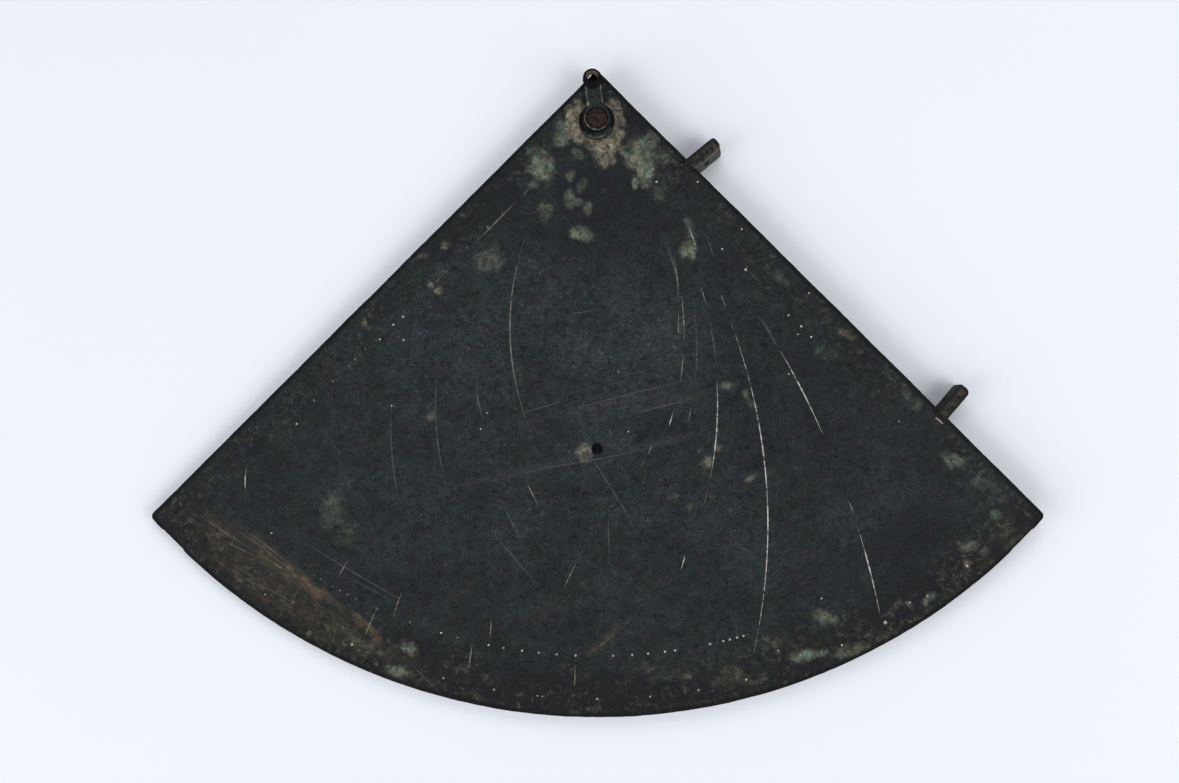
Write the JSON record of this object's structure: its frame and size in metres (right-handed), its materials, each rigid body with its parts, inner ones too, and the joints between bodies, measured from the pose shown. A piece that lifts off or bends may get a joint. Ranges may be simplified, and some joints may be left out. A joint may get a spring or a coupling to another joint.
{
  "type": "surveying quadrant",
  "caption": "Small hand quadrant: a quarter-circle metal plate with hour lines and a dotted limb, two edge sights and a swinging plumb link on a rivet.",
  "frame": {"origin": "on the axis of the small hole in the middle of the plate, at the plate's back face", "axes": "+Z out of the engraved face, +Y towards the corner with the rivet, +X towards the edge with the sights"},
  "size_m": [0.1338, 0.0972, 0.0067],
  "materials": {
    "dark_patina": "dark blue-green patina on cast copper alloy, with pale corrosion spots",
    "rusted_iron": "dull brown rust",
    "worn_bronze": "brown patina worn thin on the edges",
    "soft_solder": "pale dull soft solder"
  },
  "bodies": {
    "quadrant": {"quadrant_plate": "dark_patina", "centre_rivet": "rusted_iron", "rivet_collar": "dark_patina", "upper_sight_vane": "worn_bronze", "lower_sight_vane": "worn_bronze", "upper_vane_solder": "soft_solder", "lower_vane_solder": "soft_solder"},
    "link": {"plumb_link": "dark_patina"}
  },
  "joints": [
    {"name": "link_swing", "type": "hinge", "parent": "quadrant", "child": "link", "pos_m": [0, 0.04925, 0.00219], "axis": [0, 0, 1], "continuous": true}
  ]
}
